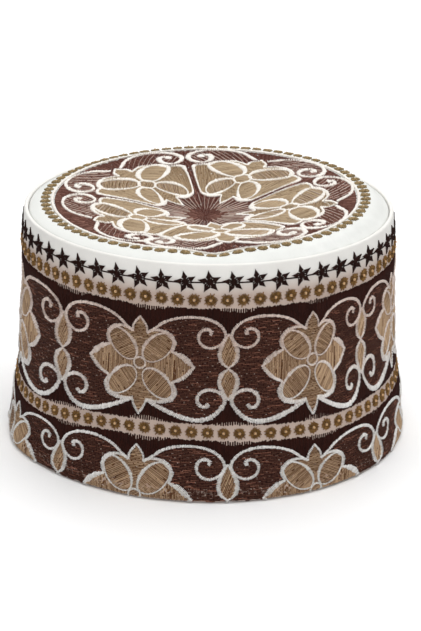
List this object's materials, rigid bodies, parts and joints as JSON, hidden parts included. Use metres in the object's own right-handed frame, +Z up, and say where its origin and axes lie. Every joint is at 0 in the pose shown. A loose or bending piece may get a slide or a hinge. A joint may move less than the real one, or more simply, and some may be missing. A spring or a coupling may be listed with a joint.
{
  "type": "embroidered prayer cap",
  "caption": "Round flat-topped prayer cap: stiff flared side band with a folded hem and a dished crown panel, embroidered with flowers and scrolls, worn on the head.",
  "frame": {"origin": "middle of the hem, on the surface that the cap stands on", "axes": "+Z up through the crown, -Y to the front of the cap, +X to the right as the picture shows it"},
  "size_m": [0.1917, 0.1916, 0.1164],
  "materials": {
    "band_cloth": "white cotton, covered with matt brown, tan and white embroidery",
    "crown_cloth": "white cotton, embroidered in the middle, plain at the border"
  },
  "bodies": {
    "root": {"side_band": "band_cloth", "crown": "crown_cloth"}
  },
  "joints": []
}
